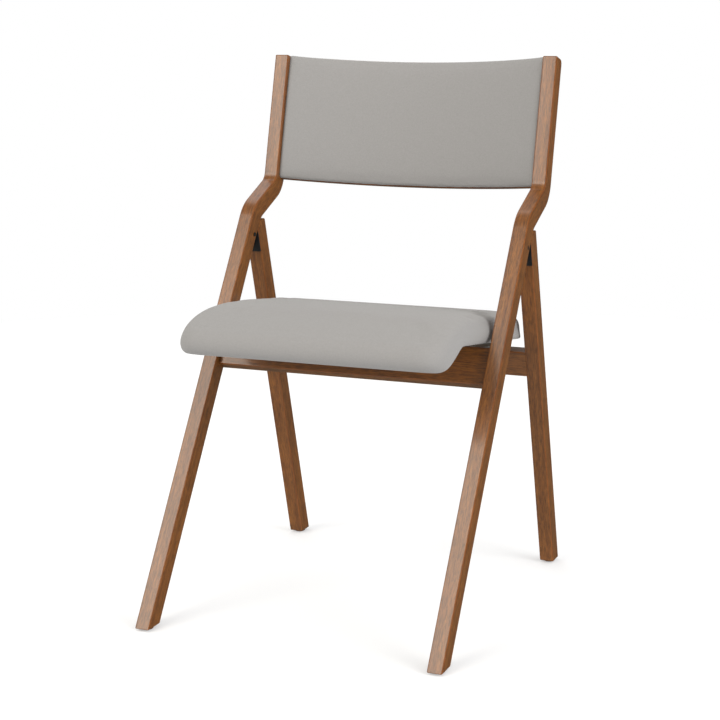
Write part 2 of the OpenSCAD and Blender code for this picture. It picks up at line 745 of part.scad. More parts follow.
module seat_bumpers() color(black_rubber) difference() {
    for (side = side_names)
        on_seat() translate([side * bumper_x, bumper_u, seat_under - bumper_blank_h])
            cylinder(r = bumper_r, h = bumper_blank_h);
    on_rear_leg() translate([-seat_w / 2, -far / 2, rear_rail_s + rear_rail_h + side_gap - far])
        cube([seat_w, far, far]);
    seat_bumper_screws_at() screw_hole(bumper_screw_len);
    // Access bore for the screw's head
    seat_bumper_screws_at() cylinder(r = bumper_bore_r, h = bumper_blank_h);
}

module seat_bumper_screws_at()
    for (side = side_names)
        on_seat() translate([side * bumper_x, bumper_u, seat_under - bumper_screw_depth])
            rotate([180, 0, 0]) children();

module seat_bumper_screws() color(bright_steel) seat_bumper_screws_at() wood_screw(bumper_screw_len);

// ---- Assembly ----

left_front_leg();
right_front_leg();
front_rail();
front_rail_dowels();
back_panel();
back_panel_dowels();
back_pad();
left_front_glide();
right_front_glide();
front_glide_nails();
left_leg_pivot_pin();
right_leg_pivot_pin();
left_rail_hinge_leaf();
right_rail_hinge_leaf();
rail_hinge_screws();
left_seat_hinge_pin();
right_seat_hinge_pin();
left_rear_leg();
right_rear_leg();
rear_rail();
rear_rail_dowels();
left_leg_bracket();
right_leg_bracket();
leg_bracket_screws();
left_rail_link_bracket();
right_rail_link_bracket();
rail_bracket_screws();
left_rear_glide();
right_rear_glide();
rear_glide_nails();
seat_board();
seat_cushion();
seat_dust_cover();
left_seat_hinge_leaf();
right_seat_hinge_leaf();
seat_hinge_screws();
left_seat_link_bracket();
right_seat_link_bracket();
seat_bracket_screws();
left_link_rivet();
right_link_rivet();
seat_bumpers();
seat_bumper_screws();
left_link();
right_link();
left_link_stud();
right_link_stud();
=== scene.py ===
"""Folding side chair with bentwood front legs, a padded seat and a padded curved back.

The file is laid out as an add-on. Two property groups hold the sizes and the colours, each group of pieces has an
operator, and main() runs the operators in order. Lengths are in metres: X runs across the chair, the front faces -Y.
"""

import math

import bmesh
import bpy
import numpy as np
from bpy.props import FloatProperty, FloatVectorProperty, PointerProperty
from bpy.types import Operator, Panel, PropertyGroup
from mathutils import Matrix, Vector


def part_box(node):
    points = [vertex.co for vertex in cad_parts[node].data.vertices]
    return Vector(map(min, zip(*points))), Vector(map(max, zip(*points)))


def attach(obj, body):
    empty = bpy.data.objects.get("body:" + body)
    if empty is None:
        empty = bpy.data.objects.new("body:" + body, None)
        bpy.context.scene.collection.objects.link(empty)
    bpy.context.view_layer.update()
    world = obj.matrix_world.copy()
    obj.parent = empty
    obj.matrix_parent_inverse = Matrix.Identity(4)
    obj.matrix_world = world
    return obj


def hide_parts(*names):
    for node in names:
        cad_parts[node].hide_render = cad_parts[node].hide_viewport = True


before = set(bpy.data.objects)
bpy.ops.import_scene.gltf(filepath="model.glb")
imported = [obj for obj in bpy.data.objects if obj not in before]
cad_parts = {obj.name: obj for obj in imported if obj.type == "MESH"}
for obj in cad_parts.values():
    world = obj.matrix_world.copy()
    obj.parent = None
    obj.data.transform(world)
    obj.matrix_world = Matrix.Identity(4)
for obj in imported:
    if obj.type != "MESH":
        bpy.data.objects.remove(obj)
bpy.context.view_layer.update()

bl_info = {
    "name": "Folding side chair",
    "version": (1, 0, 0),
    "blender": (4, 5, 0),
    "location": "3D View > Sidebar > Chair",
    "description": "Builds the wooden legs, rails and back panel, the padded seat and back, and their finishes",
    "category": "Add Mesh",
}

MM = 0.001
SIDES = {"left": -1, "right": 1}


def linear(hex_colour):
    """An sRGB hex colour as linear red, green, blue and alpha."""
    values = [int(hex_colour[i : i + 2], 16) / 255 for i in (1, 3, 5)]
    return [v / 12.92 if v <= 0.04045 else ((v + 0.055) / 1.055) ** 2.4 for v in values] + [1.0]


# ---- Sizes and colours ----


def length(name, description, millimetres):
    return FloatProperty(name=name, description=description, default=millimetres * MM, unit="LENGTH")


def angle(name, description, degrees):
    return FloatProperty(name=name, description=description, default=math.radians(degrees), unit="ROTATION")


def colour(name, description, hex_colour):
    return FloatVectorProperty(
        name=name, description=description, default=linear(hex_colour), size=4, min=0, max=1, subtype="COLOR"
    )


class ChairSizes(PropertyGroup):
    leg_width: length("Leg width", "Width of each leg across the chair", 22.7)
    leg_depth: length("Front leg depth", "Depth of a front leg and its back stile", 29)
    rear_depth: length("Rear leg depth", "Depth of a rear leg", 28.7)
    front_lean: angle("Front lean", "Lean of the front legs from the vertical", 32.3)
    bend_lean: angle("Bend lean", "Lean of the leg between its two bends", 65.9)
    stile_lean: angle("Stile lean", "Lean of the back stiles", 13.9)
    rear_lean: angle("Rear lean", "Forward lean of the rear legs", 16.5)
    lower_length: length("Lower length", "Length of the front leg's face up to its lower bend", 665.9)
    bend_length: length("Bend length", "Straight length between the two bends", 58.3)
    stile_length: length("Stile length", "Length of the stile above the upper bend", 191.2)
    lower_bend: length("Lower bend radius", "Radius on the hollow side of the lower bend", 33)
    upper_bend: length("Upper bend radius", "Radius on the hollow side of the upper bend", 20)
    edge_round: length("Edge rounding", "Rounding of the wooden edges", 2)
    seat_slope: angle("Seat slope", "Slope of the seat down to the rear", 7.1)
    seat_width: length("Seat width", "Width of the padded seat", 410)
    back_bow: length("Back bow", "Depth of the back's curve across the chair", 40)
    weave: length("Weave spacing", "Spacing of the upholstery's threads", 1.1)


class ChairColours(PropertyGroup):
    wood_dark: colour("Wood, late wood", "Darker grain of the stained wood", "#63360e")
    wood_light: colour("Wood, early wood", "Lighter grain of the stained wood", "#804e19")
    # The edges' colour is painted shading, not a thinner stain: a saturated orange-brown for the darker lines that
    # the rounded edges show where the lacquer reflects no light
    wood_edge_shade: colour("Wood, edges", "Thin stain on the rounded edges", "#7a3f0c")
    cloth: colour("Upholstery", "Light warm grey of the upholstery", "#898785")
    cloth_dark: colour("Upholstery, thread gaps", "Grey between the upholstery's threads", "#7d7b79")
    black_steel: colour("Black steel", "Powder-coated pivot brackets and pins", "#14181b")
    floor: colour("Floor", "Pale studio floor", "#bcbcbc")


# ---- Frames in the side view ----


def leaning(foot, lean):
    """The frame of a stretch that leans back from foot, a (y, z) pair: X across, Y behind it, Z along it."""
    return Matrix.Translation((0, foot[0], foot[1])) @ Matrix.Rotation(-lean, 4, "X")


def along(lean):
    return np.array([math.sin(lean), math.cos(lean)])


def behind(lean):
    return np.array([math.cos(lean), -math.sin(lean)])


SPARE_BELOW, SPARE_ABOVE = 50 * MM, 20 * MM  # of the leg's middle line beyond its two ends


class LegPath:
    """The front leg's face in the side view: straight, bent back, straight, bent up, straight."""

    def __init__(self, size):
        low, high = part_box("left_front_leg")
        self.foot = np.array([low.y, low.z])
        self.lean, self.bend, self.stile = size.front_lean, size.bend_lean, size.stile_lean
        self.face_r = size.lower_bend + size.leg_depth
        self.hollow_r = size.upper_bend
        self.bend_1_start = self.foot + size.lower_length * along(self.lean)
        self.bend_1_centre = self.bend_1_start + self.face_r * behind(self.lean)
        self.bend_1_end = self.bend_1_centre - self.face_r * behind(self.bend)
        self.bend_2_start = self.bend_1_end + size.bend_length * along(self.bend)
        self.bend_2_centre = self.bend_2_start - self.hollow_r * behind(self.bend)
        self.stile_foot = self.bend_2_centre + self.hollow_r * behind(self.stile)
        self.depth = size.leg_depth

    def samples(self, stile_length):
        """Points on the leg's middle line with their direction and distance along it, a millimetre apart."""
        rows, travelled = [], 0.0
        middle = self.depth / 2

        def straight(start, lean, span):
            nonlocal travelled
            for d in np.arange(0, span, MM):
                rows.append([*(start + d * along(lean) + middle * behind(lean)), lean, travelled + d])
            travelled += span

        def bent(centre, radius, first, last, sign):
            nonlocal travelled
            span = abs(last - first) * radius
            for t in np.linspace(0, 1, max(2, round(span / MM)), endpoint=False):
                lean = first + t * (last - first)
                rows.append([*(centre + sign * radius * behind(lean)), lean, travelled + t * span])
            travelled += span

        below = self.foot - SPARE_BELOW * along(self.lean)
        straight(below, self.lean, SPARE_BELOW + np.linalg.norm(self.bend_1_start - self.foot))
        bent(self.bend_1_centre, self.face_r - middle, self.lean, self.bend, -1)
        straight(self.bend_1_end, self.bend, np.linalg.norm(self.bend_2_start - self.bend_1_end))
        bent(self.bend_2_centre, self.hollow_r + middle, self.bend, self.stile, 1)
        straight(self.stile_foot, self.stile, stile_length + SPARE_ABOVE)
        return np.array(rows)


# ---- Modelling helpers ----

DOUBLES = 0.02 * MM  # between points that are merged
NEARLY = 0.1 * MM  # within which two places are the same
EDGE_SEGMENTS = 3
EDGE_SHADE_SHARE = 0.45  # strength of the painted edge shading on the rounded edges
EDGE_MARGIN = 0.05 * MM  # kept from both ends of a rounding
SMOOTH_BELOW = math.radians(32)
SMOOTH_WEIGHT = 80


def only(obj):
    """Makes obj the one selected and active object."""
    bpy.ops.object.select_all(action="DESELECT")
    obj.select_set(True)
    bpy.context.view_layer.objects.active = obj
    return obj


def started(name):
    """The primitive that was just added, under its own name, with its place applied to its mesh."""
    obj = bpy.context.active_object
    obj.name = obj.data.name = name
    bpy.ops.object.transform_apply(location=True, rotation=True, scale=True)
    return obj


def block(name, size, place):
    """A cuboid of the given size, from its lowest corner's middle across, in the frame of place."""
    bpy.ops.object.select_all(action="DESELECT")
    bpy.ops.mesh.primitive_cube_add(size=1, location=(0, 0, 0))
    obj = bpy.context.active_object
    obj.scale = size
    obj = started(name)
    bpy.ops.object.mode_set(mode="EDIT")
    bpy.ops.mesh.select_all(action="SELECT")
    bpy.ops.transform.translate(value=(0, size[1] / 2, size[2] / 2))
    bpy.ops.object.mode_set(mode="OBJECT")
    return put(obj, place)


def put(obj, place):
    """Moves obj to its place and applies that to its mesh."""
    only(obj)
    obj.matrix_world = place
    bpy.ops.object.transform_apply(location=True, rotation=True, scale=True)
    return obj


def modify(obj, kind, **settings):
    """Adds a modifier and applies it."""
    only(obj)
    modifier = obj.modifiers.new(kind.lower(), kind)
    for key, value in settings.items():
        setattr(modifier, key, value)
    bpy.ops.object.modifier_apply(modifier=modifier.name)
    return obj


def select_in_edit(obj, elements, test):
    """In edit mode, selects the edges or faces whose middle, and normal for a face, pass the test."""
    mesh = bmesh.from_edit_mesh(obj.data)
    for group in (mesh.verts, mesh.edges, mesh.faces):
        for element in group:
            element.select = False
    for element in list(getattr(mesh, elements)):
        if elements == "edges":
            chosen = test((element.verts[0].co + element.verts[1].co) / 2, element.verts[1].co - element.verts[0].co)
        else:
            chosen = test(element.calc_center_median(), element.normal)
        element.select_set(bool(chosen))
    bmesh.update_edit_mesh(obj.data)


def cut(obj, point, normal):
    """Cuts off what lies in front of a plane and closes the cut."""
    only(obj)
    bpy.ops.object.mode_set(mode="EDIT")
    bpy.ops.mesh.select_all(action="SELECT")
    bpy.ops.mesh.bisect(plane_co=point, plane_no=normal, use_fill=True, clear_outer=True)
    bpy.ops.object.mode_set(mode="OBJECT")


def outwards(obj):
    """Merges doubles and turns the normals outwards."""
    only(obj)
    bpy.ops.object.mode_set(mode="EDIT")
    bpy.ops.mesh.select_all(action="SELECT")
    bpy.ops.mesh.remove_doubles(threshold=DOUBLES)
    bpy.ops.mesh.normals_make_consistent(inside=False)
    bpy.ops.object.mode_set(mode="OBJECT")


def carve(obj, cutter):
    """Takes the cutter's shape out of obj and removes the cutter."""
    outwards(cutter)
    modify(obj, "BOOLEAN", operation="DIFFERENCE", solver="EXACT", object=cutter)
    bpy.data.objects.remove(cutter)


def round_edges(obj, width, above):
    """Rounds the edges where two faces meet at more than an angle."""
    modify(
        obj, "BEVEL", width=width, segments=EDGE_SEGMENTS, limit_method="ANGLE", angle_limit=above,
        harden_normals=False,
    )


def smooth(obj):
    """Smooth shading between faces that meet at a small angle, weighted by area so that flat faces stay flat."""
    only(obj)
    bpy.ops.object.shade_smooth_by_angle(angle=SMOOTH_BELOW)
    modify(obj, "WEIGHTED_NORMAL", keep_sharp=True, weight=SMOOTH_WEIGHT)


def points_of(obj):
    """The places of a mesh's points, one row each."""
    co = np.zeros(len(obj.data.vertices) * 3, np.float32)
    obj.data.vertices.foreach_get("co", co)
    return co.reshape(-1, 3).astype(float)


def paint(obj, name, vectors):
    """Stores a vector for each vertex, for a material to read."""
    attribute = obj.data.attributes.new(name, "FLOAT_VECTOR", "POINT")
    attribute.data.foreach_set("vector", np.asarray(vectors, np.float32).ravel())


def grain_in(obj, place, shift):
    """Grain of a straight piece: its own across, depth and length, shifted so that no two pieces match."""
    inverse = np.array(place.inverted())
    local = points_of(obj) @ inverse[:3, :3].T + inverse[:3, 3]
    paint(obj, "grain", local + np.array(shift))
    paint_edge_shade(obj, local[:, :2])


def paint_edge_shade(obj, section):
    """Stores the strength of the painted edge shading on a piece's long rounded edges and 0 elsewhere, from its
    points' places in section.
    """
    low, high = section.min(0), section.max(0)
    middle, half = (low + high) / 2, (high - low) / 2
    near = half - np.abs(section - middle)
    radius = bpy.context.scene.chair_sizes.edge_round
    on_edge = np.all((near > EDGE_MARGIN) & (near < radius - EDGE_MARGIN), axis=1)
    attribute = obj.data.attributes.new("edge", "FLOAT", "POINT")
    attribute.data.foreach_set("value", on_edge.astype(np.float32) * EDGE_SHADE_SHARE)


def finish_piece(obj, material, body, slot, *nodes):
    """Gives a piece its material and the body it rides on, and hides the nodes it stands for; the slot argument is
    not used.
    """
    obj.data.materials.clear()
    obj.data.materials.append(material)
    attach(obj, body)
    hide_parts(*nodes)
    return obj


# ---- Materials ----


def new_material(name):
    """A new node material: a function that adds one node with settings and links, and one that adds the output."""
    material = bpy.data.materials.new(name)
    material.use_nodes = True
    tree = material.node_tree
    tree.nodes.clear()

    def add(kind, inputs=None, **settings):
        node = tree.nodes.new(kind)
        for key, value in settings.items():
            setattr(node, key, value)
        for key, value in (inputs or {}).items():
            if isinstance(value, bpy.types.NodeSocket):
                tree.links.new(value, node.inputs[key])
            else:
                node.inputs[key].default_value = value
        return node

    def close(shader):
        add("ShaderNodeOutputMaterial", {"Surface": shader.outputs[0]})
        return material

    return add, close


def ramp(node, stops):
    """Sets a colour ramp's stops, each a place and a colour."""
    elements = node.color_ramp.elements
    while len(elements) < len(stops):
        elements.new(0.5)
    for element, (place, value) in zip(elements, stops):
        element.position = place
        element.color = value
    return node


def grey(value):
    return (value, value, value, 1)


def lacquered_wood(colours):
    """Beech stained walnut brown under satin lacquer: fine straight grain, small dark pores, a clear gloss and
    painted shading on the rounded edges.
    """
    add, close = new_material("walnut_stained_beech_lacquered")
    where = add("ShaderNodeAttribute", attribute_name="grain").outputs["Vector"]
    # Bands of growth, 5 mm wide and some 120 mm long
    bands_at = add("ShaderNodeMapping", {"Vector": where, "Scale": (1, 1, 0.045)}).outputs[0]
    bands = add("ShaderNodeTexNoise", {"Vector": bands_at, "Scale": 190, "Detail": 5, "Roughness": 0.62}).outputs[0]
    # Pores some 16 mm long, drawn 1.5 mm wide, coarser than beech's, so that they show
    pores_at = add("ShaderNodeMapping", {"Vector": where, "Scale": (1, 1, 0.09)}).outputs[0]
    pores = add("ShaderNodeTexNoise", {"Vector": pores_at, "Scale": 700, "Detail": 4, "Roughness": 0.8}).outputs[0]
    # The stain takes unevenly over a few centimetres
    cloudy = add("ShaderNodeTexNoise", {"Vector": where, "Scale": 14, "Detail": 3}).outputs[0]
    banded = ramp(
        add("ShaderNodeValToRGB", {"Fac": bands}),
        [(0.3, tuple(colours.wood_dark)), (0.7, tuple(colours.wood_light))],
    ).outputs[0]
    pored = ramp(add("ShaderNodeValToRGB", {"Fac": pores}), [(0.4, grey(0.5)), (0.56, grey(1.12))]).outputs[0]
    stained = ramp(add("ShaderNodeValToRGB", {"Fac": cloudy}), [(0.25, grey(0.86)), (0.75, grey(1.1))]).outputs[0]
    one = add("ShaderNodeMix", {0: 1.0, 6: banded, 7: pored}, data_type="RGBA", blend_type="MULTIPLY").outputs[2]
    two = add("ShaderNodeMix", {0: 1.0, 6: one, 7: stained}, data_type="RGBA", blend_type="MULTIPLY").outputs[2]
    # Painted edge shading: the rounded edges get a more saturated orange-brown, standing in for the darker edge lines
    # where the lacquer reflects no light
    edge = add("ShaderNodeAttribute", attribute_name="edge").outputs["Fac"]
    edge_shaded = add("ShaderNodeMix", {0: edge, 6: two, 7: tuple(colours.wood_edge_shade)}, data_type="RGBA").outputs[2]
    dull = add("ShaderNodeMapRange", {"Value": pores, "To Min": 0.46, "To Max": 0.36}).outputs[0]
    relief = add("ShaderNodeBump", {"Height": pores, "Strength": 0.12, "Distance": 0.08 * MM}).outputs[0]
    return close(
        add(
            "ShaderNodeBsdfPrincipled",
            {
                "Base Color": edge_shaded,
                "Roughness": dull,
                "IOR": 1.52,
                "Coat Weight": 0.5,
                "Coat Roughness": 0.2,
                "Coat IOR": 1.52,
                "Normal": relief,
            },
        )
    )


def woven_upholstery(colours, spacing):
    """Polyester upholstery in a fine plain weave: matt, light warm grey, with a faint fleck and a little sheen."""
    add, close = new_material("plain_weave_upholstery")
    where = add("ShaderNodeAttribute", attribute_name="weave").outputs["Vector"]
    split = add("ShaderNodeSeparateXYZ", {0: where})
    # One wave for each thread, warp one way and weft the other
    turns = 2 * math.pi / spacing
    warp = add("ShaderNodeMath", {0: split.outputs[0], 1: turns}, operation="MULTIPLY").outputs[0]
    weft = add("ShaderNodeMath", {0: split.outputs[1], 1: turns}, operation="MULTIPLY").outputs[0]
    warp = add("ShaderNodeMath", {0: warp}, operation="SINE").outputs[0]
    weft = add("ShaderNodeMath", {0: weft}, operation="SINE").outputs[0]
    crossing = add("ShaderNodeMath", {0: warp, 1: weft}, operation="MULTIPLY").outputs[0]
    height = add("ShaderNodeMapRange", {"Value": crossing, "From Min": -1.0}).outputs[0]
    # Flecks of 2 to 3 mm, where threads of slightly different greys come together
    fleck = add("ShaderNodeTexNoise", {"Vector": where, "Scale": 420, "Detail": 4, "Roughness": 0.7}).outputs[0]
    threads = add(
        "ShaderNodeMix",
        {0: height, 6: tuple(colours.cloth_dark), 7: tuple(colours.cloth)},
        data_type="RGBA",
    ).outputs[2]
    flecks = ramp(add("ShaderNodeValToRGB", {"Fac": fleck}), [(0.3, grey(0.93)), (0.7, grey(1.05))]).outputs[0]
    tone = add("ShaderNodeMix", {0: 1.0, 6: threads, 7: flecks}, data_type="RGBA", blend_type="MULTIPLY").outputs[2]
    relief = add("ShaderNodeBump", {"Height": height, "Strength": 0.35, "Distance": 0.12 * MM}).outputs[0]
    soft = add(
        "ShaderNodeBump", {"Height": fleck, "Strength": 0.12, "Distance": 0.3 * MM, "Normal": relief}
    ).outputs[0]
    return close(
        add(
            "ShaderNodeBsdfPrincipled",
            {
                "Base Color": tone,
                "Roughness": 0.82,
                "Specular IOR Level": 0.3,
                "Sheen Weight": 0.12,
                "Sheen Roughness": 0.5,
                "Normal": soft,
            },
        )
    )


def small_part(name, hex_or_colour, roughness, metallic=0.0, scale=900, depth=0.03, spread=0.12, **extra):
    """A finish for the small fittings: its colour and roughness vary a little, with a fine relief."""
    tone = linear(hex_or_colour) if isinstance(hex_or_colour, str) else list(hex_or_colour)
    add, close = new_material(name)
    where = add("ShaderNodeTexCoord").outputs["Object"]
    noise = add("ShaderNodeTexNoise", {"Vector": where, "Scale": scale, "Detail": 4, "Roughness": 0.6}).outputs[0]
    dark = tuple([c * (1 - spread) for c in tone[:3]] + [1])
    light = tuple([min(1, c * (1 + spread)) for c in tone[:3]] + [1])
    tones = ramp(add("ShaderNodeValToRGB", {"Fac": noise}), [(0.3, dark), (0.7, light)]).outputs[0]
    dull = add(
        "ShaderNodeMapRange", {"Value": noise, "To Min": roughness * 0.85, "To Max": min(1, roughness * 1.15)}
    ).outputs[0]
    relief = add("ShaderNodeBump", {"Height": noise, "Strength": 0.3, "Distance": depth * MM}).outputs[0]
    settings = {"Base Color": tones, "Roughness": dull, "Metallic": metallic, "Normal": relief}
    return close(add("ShaderNodeBsdfPrincipled", {**settings, **extra}))


def both(*names):
    """The left and the right node of each name."""
    return [f"{side}_{name}" for name in names for side in SIDES]


class CHAIR_OT_finishes(Operator):
    """Make the materials and give the small fittings theirs"""

    bl_idname = "chair.finishes"
    bl_label = "Finishes"

    def execute(self, context):
        colours = context.scene.chair_colours
        lacquered_wood(colours)
        woven_upholstery(colours, context.scene.chair_sizes.weave)
        finishes = {
            # Mild steel with a black powder coat: low gloss and a faint orange peel
            small_part("powder_coated_steel", colours.black_steel, 0.45, scale=1500): (
                *both("leg_bracket", "leg_pivot_pin"), "leg_bracket_screws",
            ),
            # Zinc-plated steel: pale, a little uneven in its shine
            small_part("zinc_plated_steel", "#b4b6b8", 0.34, metallic=1.0, scale=700): (
                *both("rail_hinge_leaf", "seat_hinge_leaf", "seat_hinge_pin", "rail_link_bracket"),
                *both("seat_link_bracket", "link", "link_rivet", "link_stud"),
                "rail_hinge_screws", "seat_hinge_screws", "rail_bracket_screws", "seat_bracket_screws",
                "seat_bumper_screws", "front_glide_nails", "rear_glide_nails",
            ),
            # Moulded polyethylene glides: brown, slightly waxy, scuffed below
            small_part("moulded_polyethylene", "#4a2a17", 0.42, scale=500): both("front_glide", "rear_glide"),
            # Moulded rubber: nearly black and matt
            small_part("moulded_rubber", "#1b1b1b", 0.7, scale=1200, depth=0.05): ("seat_bumpers",),
            # Spun-bonded cloth: black, matt, with a fibrous surface
            small_part("spun_bonded_cloth", "#1d1d1e", 0.92, scale=900, depth=0.15, spread=0.3): (
                "seat_dust_cover",
            ),
            # Birch plywood: pale, dry, with a soft mottle
            small_part("birch_plywood", "#b08a5e", 0.6, scale=220): ("seat_board",),
            # Turned beech dowels
            small_part("turned_beech", "#c9a878", 0.55, scale=300): (
                "front_rail_dowels", "rear_rail_dowels", "back_panel_dowels",
            ),
        }
        for material, nodes in finishes.items():
            for node in nodes:
                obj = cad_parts[node]
                obj.data.materials.clear()
                obj.data.materials.append(material)
        return {"FINISHED"}


# ---- Wooden pieces ----

SLOT_WIDTH = 4 * MM  # of the slot that the bracket's tongue swings in
SLOT_LENGTH = 47 * MM
SLOT_FLOOR = 14 * MM  # behind the leg's face
PIVOT_ALONG = 643.3 * MM
PIVOT_BEHIND = 21 * MM
PIVOT_BORE = 3.35 * MM
SLOT_BELOW_PIVOT = 40 * MM
BORE_SIDES = 48
STOP_GAP = 1 * MM  # between a front leg's back and a rear leg's stop face
RELIEF_TILT = math.radians(-8)  # of the top of the stop face
LEG_RUN_UP = 40 * MM  # below the floor, cut off after the leg is bent
BEND_STEPS, PANEL_STEPS = 14, 56
STILE_CORNER, STILE_CORNER_SEGMENTS = 8 * MM, 6
REAR_BLANK, REAR_BLANK_BELOW = 640 * MM, 20 * MM
BENT_EDGES, STRAIGHT_EDGES = math.radians(40), math.radians(20)  # the sharpest angles that stay unrounded
RAIL_INTO_LEG = 1 * MM
# Each rail's thickness, its height, and its distance up its legs
FRONT_RAIL = (18 * MM, 58 * MM, 420 * MM)
REAR_RAIL = (19 * MM, 41.6 * MM, 336.5 * MM)
PANEL_INTO_STILE, PANEL_ROUND = 1 * MM, 1.6 * MM
# Shifts of the grain, in metres across, in depth and along, so that no two pieces match
FRONT_LEG_GRAIN, PANEL_GRAIN = 0.3, 0.6
REAR_LEG_GRAIN = (0.7, 0.2, 0.4)
RAIL_GRAIN = (0.1, 0.5)


def finish_wood(obj, body, node):
    finish_piece(obj, bpy.data.materials["walnut_stained_beech_lacquered"], body, "walnut_stained_wood", node)


def rear_leg_place(size, name):
    """The frame of a rear leg, from the foot of its front face up."""
    low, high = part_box(f"{name}_rear_leg")
    return leaning((high.y - size.rear_depth / math.cos(size.rear_lean), low.z), -size.rear_lean)


class CHAIR_OT_front_legs(Operator):
    """Bend and finish the two front legs, which run up into the back stiles"""

    bl_idname = "chair.front_legs"
    bl_label = "Front legs"

    def execute(self, context):
        size = context.scene.chair_sizes
        path = LegPath(size)
        samples = path.samples(size.stile_length)
        for name, side in SIDES.items():
            low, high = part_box(f"{name}_front_leg")
            middle = (low.x + high.x) / 2
            leg = self.bend(f"{name}_bentwood_leg", size, path, middle)
            outwards(leg)
            round_edges(leg, size.edge_round, BENT_EDGES)
            place = leaning(path.foot, size.front_lean)
            slot_at = Matrix.Translation((0, SLOT_FLOOR, PIVOT_ALONG - SLOT_BELOW_PIVOT))
            carve(leg, block(
                "slot", (SLOT_WIDTH, size.leg_depth, SLOT_LENGTH),
                Matrix.Translation((middle, 0, 0)) @ place @ slot_at,
            ))
            pivot = place @ Vector((0, PIVOT_BEHIND, PIVOT_ALONG))
            bpy.ops.object.select_all(action="DESELECT")
            bpy.ops.mesh.primitive_cylinder_add(
                vertices=BORE_SIDES, radius=PIVOT_BORE, depth=3 * size.leg_width,
                location=(middle, pivot.y, pivot.z), rotation=(0, math.pi / 2, 0),
            )
            carve(leg, started("bore"))
            smooth(leg)
            self.straighten(leg, samples, middle, side)
            finish_wood(leg, "front_frame", f"{name}_front_leg")
        return {"FINISHED"}

    def bend(self, name, size, path, middle):
        """Sweeps the leg's section: out straight from below the floor, spun through each bend, and out again."""
        start = path.foot - LEG_RUN_UP * along(path.lean) + path.depth / 2 * behind(path.lean)
        bpy.ops.object.select_all(action="DESELECT")
        bpy.ops.mesh.primitive_plane_add(size=1, location=(middle, *start), rotation=(-path.lean, 0, 0))
        leg = bpy.context.active_object
        leg.scale = (size.leg_width, size.leg_depth, 1)
        leg = started(name)
        bpy.ops.object.mode_set(mode="EDIT")
        bpy.ops.mesh.select_mode(type="FACE")
        bpy.ops.mesh.select_all(action="SELECT")

        def out(span, lean):
            bpy.ops.mesh.extrude_region_move(TRANSFORM_OT_translate={"value": (0, *(span * along(lean)))})

        def spin(centre, turn):
            bpy.ops.mesh.spin(steps=BEND_STEPS, angle=turn, center=(middle, *centre), axis=(1, 0, 0))

        out(LEG_RUN_UP + size.lower_length, path.lean)
        spin(path.bend_1_centre, path.bend - path.lean)
        out(size.bend_length, path.bend)
        spin(path.bend_2_centre, path.stile - path.bend)
        out(size.stile_length, path.stile)
        # The stile's top back corner is rounded
        top = path.stile_foot + size.stile_length * along(path.stile) + path.depth * behind(path.stile)
        bpy.ops.mesh.select_mode(type="EDGE")
        select_in_edit(
            leg, "edges",
            lambda at, way: abs(at.y - top[0]) < NEARLY and abs(at.z - top[1]) < NEARLY and abs(way.x) > NEARLY,
        )
        bpy.ops.mesh.bevel(offset=STILE_CORNER, segments=STILE_CORNER_SEGMENTS, affect="EDGES")
        bpy.ops.object.mode_set(mode="OBJECT")
        cut(leg, (0, *path.foot), (0, 0, -1))
        return leg

    def straighten(self, leg, samples, middle, side):
        """Grain that follows the bends: across, depth and distance along the leg's middle line."""
        co = points_of(leg)
        nearest = np.argmin(
            (co[:, 1, None] - samples[None, :, 0]) ** 2 + (co[:, 2, None] - samples[None, :, 1]) ** 2, axis=1
        )
        at = samples[nearest]
        off = co[:, 1:] - at[:, :2]
        lean = at[:, 2]
        depth = off[:, 0] * np.cos(lean) - off[:, 1] * np.sin(lean)
        onward = off[:, 0] * np.sin(lean) + off[:, 1] * np.cos(lean)
        across = co[:, 0] - middle + FRONT_LEG_GRAIN * side
        paint(leg, "grain", np.column_stack([across, depth, at[:, 3] + onward]))
        paint_edge_shade(leg, np.column_stack([co[:, 0], depth]))


class CHAIR_OT_rear_legs(Operator):
    """Cut the two straight rear legs to their stop faces, level tops and feet"""

    bl_idname = "chair.rear_legs"
    bl_label = "Rear legs"

    def execute(self, context):
        size = context.scene.chair_sizes
        path = LegPath(size)
        front = leaning(path.foot, size.front_lean)
        for name, side in SIDES.items():
            low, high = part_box(f"{name}_rear_leg")
            middle = (low.x + high.x) / 2
            place = Matrix.Translation((middle, 0, 0)) @ rear_leg_place(size, name)
            leg = block(
                f"{name}_straight_leg", (size.leg_width, size.rear_depth, REAR_BLANK),
                place @ Matrix.Translation((0, 0, -REAR_BLANK_BELOW)),
            )
            cut(leg, (0, 0, low.z), (0, 0, -1))
            cut(leg, (0, 0, high.z), (0, 0, 1))
            stop = front @ Vector((0, size.leg_depth + STOP_GAP, PIVOT_ALONG))
            towards_leg = (front.to_3x3() @ Vector((0, -1, 0))).normalized()
            cut(leg, stop, towards_leg)
            # The top of the stop face falls away from the front leg's bend
            relief = front @ Vector((0, size.leg_depth + STOP_GAP, size.lower_length))
            tilted = Matrix.Rotation(RELIEF_TILT, 3, "X") @ towards_leg
            cut(leg, relief, tilted)
            outwards(leg)
            round_edges(leg, size.edge_round, STRAIGHT_EDGES)
            smooth(leg)
            grain_in(leg, place, (REAR_LEG_GRAIN[0] * side, *REAR_LEG_GRAIN[1:]))
            finish_wood(leg, "rear_frame", f"{name}_rear_leg")
        return {"FINISHED"}


